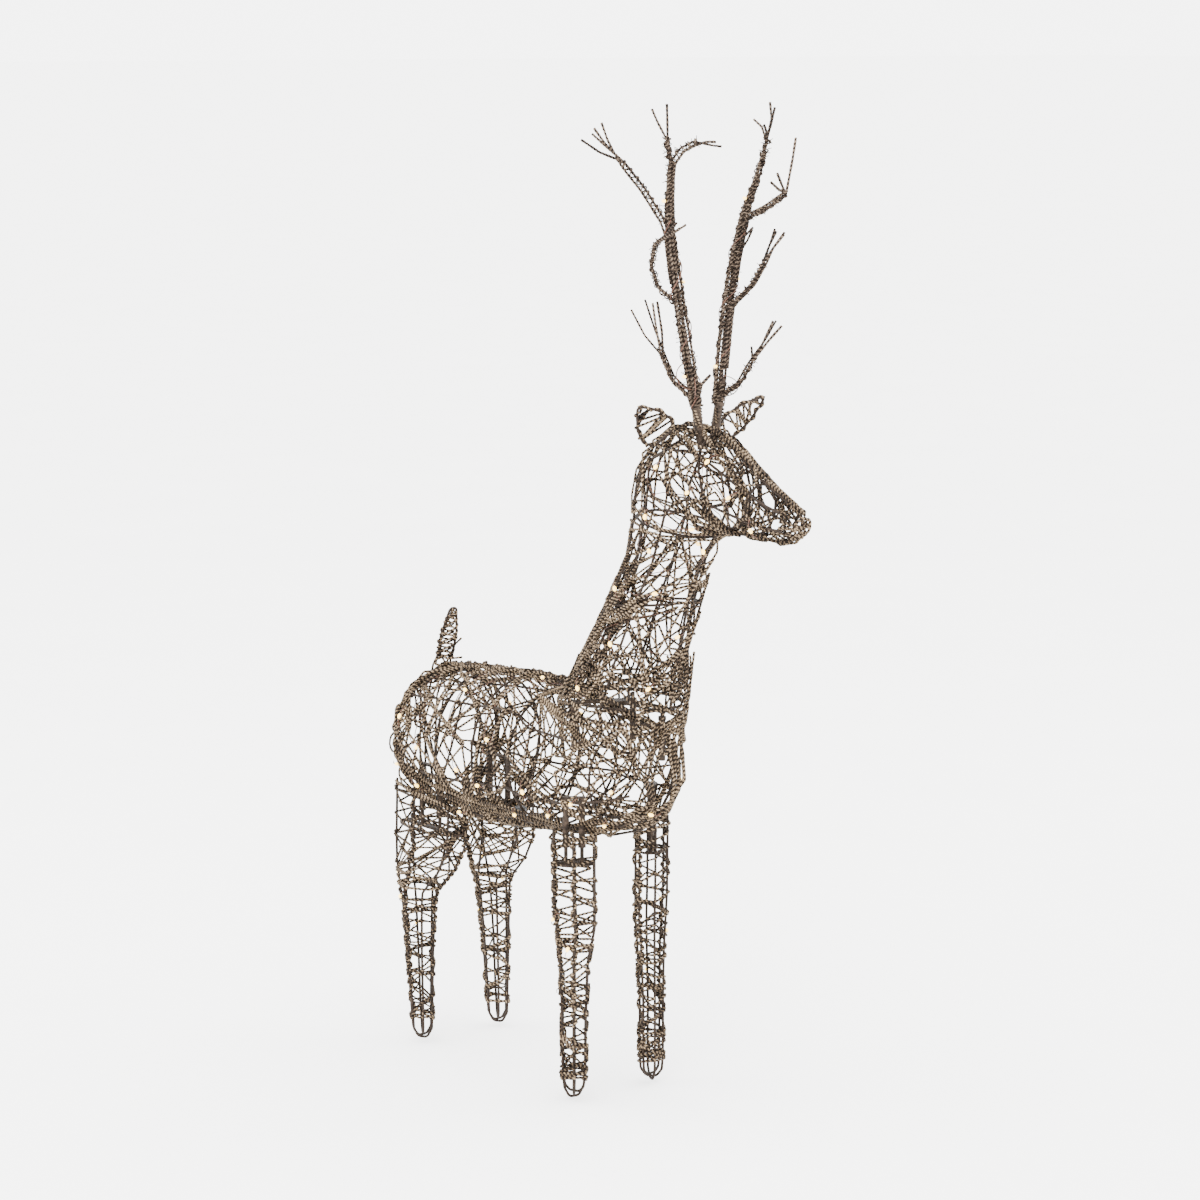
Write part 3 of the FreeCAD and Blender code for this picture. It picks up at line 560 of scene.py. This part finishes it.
# ---- Ears -------------------------------------------------------------------------------------
# A leaf of frame wire with a few strands drawn from edge to edge, and twine turned round the rim.

for side, word in ((-1, "right"), (1, "left")):
    root = np.array((0.204, side * 0.050, 1.016))
    tip = np.array((0.227, side * 0.117, 1.069))
    run = tip - root
    wide = np.array((0.41, side * -0.60, 0.69))
    wide = unit(wide - run * (wide @ run) / (run @ run))
    share = np.array([0.04, 0.28, 0.58, 0.86, 1.0, 0.80, 0.55, 0.28, 0.04])
    reach = np.array([-18, -27, -22, -9, 0, 11, 21, 25, 18]) / 1000
    rim = root + share[:, None] * run + reach[:, None] * wide
    face = unit(np.cross(run, wide))
    rim[4] -= 0.004 * unit(run)
    ear = [coil(rim[:5], 0.022, 0.0036), coil(rim[4:], 0.030, 0.0036)]
    for strand in range(2):
        at = np.sort(rng.uniform(0.06, 0.9, 8))[:, None]
        low = np.interp(at[:, 0], share[:5], reach[:5])
        high = np.interp(at[:, 0], share[:3:-1], reach[:3:-1])
        across = np.where((np.arange(8) + strand) % 2, high, low)[:, None]
        ear.append(root + at * run + across * wide + face * rng.choice((-0.003, 0.003)))
    piece = twist_up(word + "_ear_twine_wrap", "neck_and_head", ear, twine_paper,
                     seed=60 + side)
    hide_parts(word + "_ear_wicker_web")

# ---- Antlers ----------------------------------------------------------------------------------
# A beam and side tines of paper-covered wire twigs, bunched and bound with a thinner twist of the
# same. At the ends the twigs fan out singly with cut tips. Each beam stands on a steel stem.

BEAM = {"right": [  # x, outward, z, radius, mm
    (238, 24, 1084, 9.5), (238, 36, 1138, 9.5), (234, 47, 1205, 9), (233, 58, 1267, 8.5),
    (235, 69, 1330, 7), (248, 79, 1381, 6), (260, 85, 1410, 5)], "left": [
    (235, 24, 1084, 9.5), (228, 37, 1149, 9.5), (225, 48, 1211, 9), (226, 59, 1269, 8.5),
    (233, 70, 1332, 7), (245, 78, 1372, 6), (257, 86, 1420, 5)]}
BRANCHES = {"right": [  # run of the branch from the beam, its twig tips: x, outward, z, mm
    ([(260, 86, 1412), (258, 92, 1440)], [(232, 97, 1483), (265, 97, 1491), (266, 91, 1443)]),
    ([(262, 84, 1412), (274, 78, 1430), (298, 73, 1440)], [(346, 66, 1434), (337, 69, 1440)]),
    ([(230, 74, 1328), (208, 92, 1372), (184, 108, 1406)],
     [(106, 124, 1438), (128, 122, 1447), (135, 124, 1455), (147, 120, 1463)]),
    ([(228, 50, 1212), (198, 58, 1232), (190, 64, 1262), (212, 75, 1294)],
     [(271, 84, 1327), (275, 80, 1320), (291, 84, 1325)]),
    ([(232, 28, 1080), (206, 38, 1102), (198, 50, 1136)],
     [(159, 76, 1199), (188, 74, 1215), (203, 72, 1211), (207, 67, 1213)]),
    ([(246, 26, 1078)], [(279, 31, 1110), (277, 27, 1112)])], "left": [
    ([(257, 87, 1421), (259, 91, 1436)],
     [(254, 99, 1491), (267, 97, 1484), (222, 96, 1466), (247, 94, 1459)]),
    ([(236, 72, 1328), (262, 84, 1341), (292, 96, 1362)],
     [(284, 122, 1441), (265, 104, 1391), (256, 100, 1378)]),
    ([(230, 60, 1272)], [(253, 70, 1315), (255, 67, 1312)]),
    ([(230, 50, 1204), (262, 62, 1236), (272, 72, 1262)],
     [(275, 92, 1313), (281, 90, 1310), (294, 94, 1309), (298, 90, 1306)]),
    ([(240, 26, 1078), (266, 38, 1098), (276, 50, 1126)],
     [(289, 78, 1184), (298, 76, 1185), (306, 80, 1178), (268, 56, 1147)])]}
TWIG = 0.0021

twig_paper = paper_finish("twig_paper", (0.003, 0.002, 0.0015), (0.024, 0.0165, 0.0125),
                          (0.16, 0.118, 0.084), scale=1200.0)
lamp_lead = finish("copper_lacquer_lead", (0.03, 0.011, 0.007), (0.11, 0.045, 0.024), 0.45,
                   metal=0.2, scale=300.0, relief=0.0001)
dress(lamp_lead, "barrel_light_wire", "neck_light_wire")


def whiskers(rng, line, reach, count, length=0.007):
    """Cut ends of the binding: each starts on the bunch at a random point of its line and stands
    out and along by a random part of the length."""
    pick = rng.integers(0, len(line) - 1, count)
    one, two = side_ways(line)
    angle = rng.uniform(0, 2 * np.pi, (count, 1))
    out = np.cos(angle) * one[pick] + np.sin(angle) * two[pick]
    out_by = np.interp(pick / len(line), np.linspace(0, 1, np.size(reach)), np.ravel(reach))
    start = line[pick] + out * (out_by[:, None] - 0.001)
    lean = unit(out + rng.normal(0, 0.8, (count, 3)))
    end = start + lean * rng.uniform(0.4, 1.0, (count, 1)) * length
    return list(np.stack([start, (start + end) / 2 + out * 0.0006, end], 1))


for side, word in ((-1, "right"), (1, "left")):
    body = word + "_antler"
    mirror = np.array((0.001, 0.001 * side, 0.001))
    table = np.array(BEAM[word])
    beam, thick = table[:, :3] * mirror, table[:, 3] / 1000
    beam = np.vstack([beam[0] - (0, side * 0.0035, 0.020), beam])
    thick = np.r_[0.0085, thick]
    smooth = even(beam, 0.006)
    share = np.linspace(0, 1, len(smooth))
    one, two = side_ways(smooth)
    radius = np.interp(smooth[:, 2], beam[:, 2], thick)[:, None]
    twigs, binding, spikes = [], [], []
    tops = (1.0, 0.93, 1.0, 0.78, 1.0, 0.66, 0.88, 0.97)
    for k, top in enumerate(tops):
        turn = 2 * np.pi * k / 7 + 0.9 * share + rng.normal(0, 0.12, len(share)).cumsum() * 0.3
        inner = (radius - TWIG) * (0.15 if k == 7 else 1.0)
        upto = int(top * (len(smooth) - 1)) + 1
        twig = smooth + inner * (np.cos(turn)[:, None] * one + np.sin(turn)[:, None] * two)
        twigs.append(twig[:upto])
    for start, pitch in ((0.0, (0.024, 0.017)), (4.0, (0.040, 0.026))):
        binding.append(coil(beam, pitch, thick + 0.0006, start))
    binding.append(coil(smooth[:6], 0.0042, 0.0095))
    spikes += whiskers(rng, smooth, thick, 130)
    for run, tips in BRANCHES[word]:
        run = np.array(run) * mirror
        leave = np.argmin(np.abs(smooth[:, 2] - run[0, 2]))
        below = np.arange(max(leave - 16, 0), max(leave - 3, 1), 4)
        toward = unit(run[min(1, len(run) - 1)] - smooth[leave])
        for tip in tips:
            tip = np.array(tip) * mirror
            spread = rng.normal(0, 0.0018, 3)
            root = smooth[below] + toward * (radius[below] - 0.001) + spread
            knee = tip + (run[-1] - tip) * rng.uniform(0.35, 0.55) + rng.normal(0, 0.0025, 3)
            twigs.append(np.vstack([root, run + spread, knee, tip]))
        if len(run) > 1:
            bound = np.vstack([run, run[-1] + (np.mean(tips, 0) * mirror - run[-1]) * 0.18])
            for start, pitch in ((0.0, (0.010, 0.015)), (3.0, (0.021, 0.014))):
                binding.append(coil(bound, pitch, (0.0055, 0.0046), start))
            spikes += whiskers(rng, even(bound, 0.006), (0.005, 0.004), 28)
        binding.append(coil(np.vstack([smooth[max(leave - 3, 0)], smooth[min(
            leave + 3, len(smooth) - 1)]]), 0.0035, radius[leave, 0] + 0.0016))
    piece = twist_up(word + "_antler_twigs", body, twigs, twig_paper, radius=TWIG,
                     twist=0.0064, groove=0.80, seed=70 + side)
    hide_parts(word + "_antler_beam", word + "_antler_tines")
    twist_up(word + "_antler_binding", body, binding, twig_paper, radius=0.0012,
             sides=4, step=0.002, twist=0.012, seed=73 + side, tones=(0.1, 0.8))
    twist_up(word + "_antler_cut_ends", body, spikes, twig_paper, radius=0.0007,
             sides=3, step=0.0025, seed=76 + side, tones=(0.0, 0.6))
    lead = [coil(beam[:6], 0.085, thick[:6] + 0.0018, 1.0 + side)]
    for high, bulge, width in ((1.100, 0.020, 0.030), (1.122, -0.017, 0.040)):
        foot = smooth[np.argmin(np.abs(smooth[:, 2] - high))]
        swing = np.linspace(0, np.pi, 12)[:, None]
        lead.append(foot + (0, 0, -0.5) * (1 - np.cos(swing)) * width
                    + np.sin(swing) * (bulge, side * 0.014, 0) + (0.004, 0, 0.006))
    twist_up(word + "_antler_lamp_lead", body, lead, lamp_lead, radius=0.0008,
             sides=5, groove=1.0, seed=79 + side)
dress(twig_paper, "right_antler_beam", "right_antler_tines", "left_antler_beam",
      "left_antler_tines")

# ---- Legs -------------------------------------------------------------------------------------
# Three U rods cross under the toe and stand up as six uprights, wound round and round with twine
# both ways, banded at the toe and at the knee or hock. The last of the toe is left bare wire.

FRONT_LEG = np.array([  # z, forward, inward, long half axis, short half axis, mm
    (0, 0, 0, 13, 13), (5, 0, 0, 20, 20), (14, 0, 0, 24.5, 24), (45, 0, 0, 25.5, 24.5),
    (130, 0, 0, 26.5, 24.5), (215, -1, 1, 30, 27), (262, 1, 3, 38, 30), (300, 0, 1, 41, 31),
    (428, 0, 0, 41, 31)]) / 1000
HIND_LEG = np.array([
    (0, 0, 0, 12, 12), (5, 0, 0, 19, 19), (14, 0, 0, 23.5, 22.5), (65, -2, 0, 26, 24.5),
    (145, -5, 0, 30, 28), (225, -9, 1, 37, 32), (247, -11, 2, 42, 34), (288, 5, 5, 72, 38),
    (325, 15, 7, 87, 39), (425, 17, 8, 87, 39)]) / 1000
TRACK = 0.074


def leg_skin(table, foot_x, side, turned):
    """A leg's skin: at height z an oval about the leg's own line, its long axis turned outwards
    from straight ahead; the first rod stands at a twelfth of a turn."""
    along = np.array((np.cos(turned), -side * np.sin(turned), 0))
    across = np.array((side * np.sin(turned), np.cos(turned), 0))

    def skin(z, turn, lift=0.0):
        ahead, inward, a, b = (np.interp(z, table[:, 0], table[:, k]) for k in range(1, 5))
        z, turn = np.broadcast_arrays(z, turn)
        centre = np.stack(np.broadcast_arrays(foot_x + ahead, side * (TRACK - inward), z), -1)
        return (centre + ((a + lift) * np.cos(turn))[..., None] * along
                + ((b + lift) * np.sin(turn))[..., None] * across)

    return skin


def below_barrel(path, gap=0.0065):
    """The path lowered, wherever the barrel hangs over it, to a gap under the barrel's skin."""
    x, y, z = path.T
    top, low, half = (np.interp(x, BARREL[:, 0], BARREL[:, k]) for k in (1, 2, 3))
    share = np.sqrt(np.clip(1 - (y / (half + gap)) ** 2, 0, None))
    ceiling = np.where(share > 0, (top + low) / 2 - ((top - low) / 2 + gap) * share, 9.0)
    return np.stack([x, y, np.minimum(z, ceiling)], 1)


uprights = np.radians(30 + 60 * np.arange(6))
every = np.ones(6, bool)
leg_skins = {}
for name, table, foot_x, side, turned in (
        ("front_right_leg", FRONT_LEG, 0.020, -1, np.radians(50)),
        ("front_left_leg", FRONT_LEG, 0.020, 1, np.radians(50)),
        ("hind_right_leg", HIND_LEG, -0.380, -1, 0.0),
        ("hind_left_leg", HIND_LEG, -0.380, 1, 0.0)):
    skin = leg_skin(table, foot_x, side, turned)
    front = name.startswith("front")
    if front:
        courses = ((4, 46, 0.034, 0.420, 0.0095, 0.008, 0.04),
                   (1, 50, 0.032, 0.21, 0.004, 0.004, 0.04))
        bands = ((0.044, 0.004, 1), (0.250, 0.008, 1), (0.395, 0.016, 1))
    else:
        courses = ((3, 30, 0.034, 0.255, 0.009, 0.007, 0.04),
                   (1, 40, 0.034, 0.25, 0.004, 0.004, 0.04),
                   (4, 24, 0.250, 0.425, 0.010, 0.036, 0.12))
        bands = ((0.046, 0.004, 1), (0.252, 0.005, 2), (0.405, 0.014, 2))
    wound = []
    for strands, steps, low, high, slope, stray, back in courses:
        line, place = wander(rng, strands, steps, 6, low, high, slope, stray, back)
        wound += wind(rng, skin, uprights, every, line, place, 0.15)
    for place, width, strands in bands:
        wound += band(rng, skin, place, width, strands, 1.2, ties=6, depth=(0.0015, 0.006))
    for rod, foot, top, pitch in ((rng.integers(6), 0.12, 0.42, 0.020),
                                  (rng.integers(6), 0.20, 0.40, 0.013),
                                  (rng.integers(6), 0.04, 0.42, 0.045)):
        upright = skin(np.linspace(foot, top, 24), uprights[rod], -ROD_DEPTH)
        wound.append(coil(upright, pitch, ROD + TWINE))
    wound = [below_barrel(path) for path in wound]
    piece = twist_up(name + "_twine_winding", name, wound, twine_paper,
                     seed=rng.integers(1000))
    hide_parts(name + "_wicker_skin")
    leg_skins[name] = skin

# ---- Lamps ------------------------------------------------------------------------------------
# Micro lamps: clear resin drops, warm white, each on its thin copper lead. The lead is laid in
# with the twine, so only the beads and a few bows of it show.

glow = finish("lamp_resin", (1.0, 0.62, 0.12), (1.0, 0.72, 0.22), 0.20, scale=900.0,
              relief=0.0001)
n, link = glow.node_tree.nodes, glow.node_tree.links
skin = n["Principled BSDF"]
skin.inputs["Emission Strength"].default_value = 4.0
link.new(n["Color Ramp"].outputs["Color"], skin.inputs["Emission Color"])
dress(glow, "barrel_lamps", "neck_and_head_lamps", "right_antler_lamps", "left_antler_lamps",
      *[leg + "_lamps" for leg in LEGS])


def beads(name, body, centres, ways, stands_for):
    """Resin drops: at each centre nine-sided rings along its way, their radius the height of a
    half circle over its length drawn out by a half, closed by a point at each end."""
    k = 2 * np.pi * np.arange(9) / 9
    s = np.cos(np.linspace(0, np.pi, 8))[1:-1]
    one = unit(np.cross(ways, (0.31, 0.52, 0.79)))
    two = np.cross(ways, one)
    long, thick = 0.0044, 0.0030
    wide = thick * np.sqrt(1 - s ** 2)[:, None]
    rings = (centres[:, None, None] + long * s[:, None, None] * ways[:, None, None]
             + (wide * np.cos(k))[None, ..., None] * one[:, None, None]
             + (wide * np.sin(k))[None, ..., None] * two[:, None, None]).reshape(len(ways), -1, 3)
    verts = np.concatenate([rings, centres[:, None] + long * ways[:, None],
                            centres[:, None] - long * ways[:, None]], 1)
    a = 9 * np.arange(5)[:, None] + np.arange(9)
    b = 9 * np.arange(5)[:, None] + (np.arange(9) + 1) % 9
    skin = np.stack([a, a + 9, b + 9, b], -1).reshape(-1, 4)
    cap, turn = np.arange(9), (np.arange(9) + 1) % 9
    tips = np.concatenate([np.stack([cap, turn, np.full(9, 54)], -1),
                           np.stack([turn + 45, cap + 45, np.full(9, 55)], -1)])
    shift = 56 * np.arange(len(ways))[:, None, None]
    mesh = bpy.data.meshes.new(name)
    faces = (skin + shift).reshape(-1, 4).tolist() + (tips + shift).reshape(-1, 3).tolist()
    mesh.from_pydata(verts.reshape(-1, 3).tolist(), [], faces)
    mesh.polygons.foreach_set("use_smooth", np.ones(len(mesh.polygons), bool))
    piece = bpy.data.objects.new(name, mesh)
    bpy.context.scene.collection.objects.link(piece)
    mesh.materials.append(glow)
    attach(piece, body)
    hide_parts(stands_for)


def string_up(name, body, points, outs, stands_for, seed):
    """Lamps on a lead: each drop lies across its way out from the cage, and the lead runs from
    behind one side of it, through both ends, to behind the other side."""
    rng = np.random.default_rng(seed)
    lean = unit(np.cross(outs, rng.normal(0, 1, outs.shape)))
    beads(name + "_lamp_drops", body, points, lean, stands_for)
    bows = []
    for point, out, way in zip(points, outs, lean):
        reach = rng.uniform(0.012, 0.020)
        bows.append(np.array([point - way * reach - out * 0.006, point - way * reach * 0.55,
                              point, point + way * reach * 0.55,
                              point + way * reach - out * 0.006]))
    twist_up(name + "_lamp_bows", body, bows, lamp_lead, radius=0.0006, sides=5,
             groove=1.0, step=0.0015, seed=seed)


def on_cage(skin, place, turn):
    """Points a little inside a skin and the ways out of it there."""
    out = unit(skin(place, turn, 0.004) - skin(place, turn, 0.0))
    return skin(place, turn, -0.001), out


spots = np.array([
    (-432, 205), (-400, 160), (-370, 215), (-340, 180), (-290, 235), (-260, 130), (-230, 190),
    (-180, 200), (-150, 165), (-120, 225), (-60, 195), (-20, 215), (40, 200), (70, 230),
    (100, 190), (130, 250), (-300, 300), (-200, 20), (-380, 20), (-100, -20), (0, -30),
    (80, -10), (-330, 60), (-130, 100)])
for number, (name, skin) in enumerate(leg_skins.items()):
    sign = 1 if "right" in name else -1
    height, turn = np.array((0.1725, 0.2385, 0.281)), sign * np.radians((150, 250, 200))
    if name.startswith("hind"):
        height = np.array((0.185, 0.236, 0.2675))
    out = unit(skin(height, turn, 0.004) - skin(height, turn, 0.0))
    string_up(name, name, skin(height, turn, -0.004), out, name + "_lamps", 94 + number)
string_up("barrel", "barrel", *on_cage(barrel_skin, spots[:, 0] / 1000, np.radians(spots[:, 1])),
          "barrel_lamps", 91)
spots = np.array([
    (0.4, 190), (0.5, 120), (1.3, 170), (1.4, 100), (1.5, 20), (2.4, 200), (2.3, 140), (3.4, 165),
    (3.5, 100), (4.5, 180), (5.5, 130), (6.5, 200), (7.5, 170), (8.5, 215), (9.5, 190),
    (10.5, 150), (6.5, 20), (8.5, 340), (3.3, 350)])
low = spots[:, 0] < 4
held = [on_cage(neck_skin, np.interp(spots[low, 0], range(5), neck_run), np.radians(spots[low, 1])),
        on_cage(head_skin, np.interp(spots[~low, 0] - 4, range(10), head_run),
                np.radians(spots[~low, 1]))]
string_up("neck_and_head", "neck_and_head", *(np.concatenate(part) for part in zip(*held)),
          "neck_and_head_lamps", 92)

# ---- Ground, light and camera -----------------------------------------------------------------
# A plain pale floor under broad soft light from above and both sides, as in a product studio.

floor_mesh = bpy.data.meshes.new("studio_floor")
floor_mesh.from_pydata([(-150, -150, 0), (150, -150, 0), (150, 150, 0), (-150, 150, 0)], [],
                       [(0, 1, 2, 3)])
floor = bpy.data.objects.new("studio_floor", floor_mesh)
bpy.context.scene.collection.objects.link(floor)
floor_mesh.materials.append(finish("floor_paint", (0.950, 0.950, 0.945), (0.970, 0.970, 0.965),
                                   0.85, scale=3.0, relief=0.0, shine=0.0))

sky = bpy.data.worlds.new("studio_air")
bpy.context.scene.world = sky
sky.use_nodes = True
sky.node_tree.nodes["Background"].inputs["Color"].default_value = (1.0, 1.0, 1.0, 1)
sky.node_tree.nodes["Background"].inputs["Strength"].default_value = 6.0


def soft_box(name, at, aim, size, power):
    """Square area lamp at one point, turned so that its face looks at another."""
    data = bpy.data.lights.new(name, "AREA")
    data.size = size
    data.energy = power
    lamp = bpy.data.objects.new(name, data)
    bpy.context.scene.collection.objects.link(lamp)
    way = np.array(aim) - np.array(at)
    lamp.location = at
    lamp.rotation_euler = (np.arccos(-way[2] / np.linalg.norm(way)), 0,
                           np.arctan2(way[1], way[0]) - np.pi / 2)
    return lamp


soft_box("key_box", (2.6, -3.2, 3.2), (0, 0, 0.7), 2.0, 200)
soft_box("fill_box", (-2.8, -2.4, 2.2), (0, 0, 0.7), 2.6, 60)
soft_box("back_box", (0.4, 3.2, 2.8), (0, 0, 0.8), 2.4, 60)

AIM = np.array((-0.0124, 0.0, 0.7515))
around, above, far = np.radians(52.4), np.radians(9.2), 5.27
lens = bpy.data.cameras.new("view")
lens.sensor_width = 36.0
lens.lens = 105.9
lens.clip_end = 500.0
camera = bpy.data.objects.new("view", lens)
bpy.context.scene.collection.objects.link(camera)
camera.location = AIM + far * np.array((np.sin(around) * np.cos(above),
                                        -np.cos(around) * np.cos(above), np.sin(above)))
camera.rotation_euler = (np.pi / 2 - above, 0, around)
bpy.context.scene.camera = camera
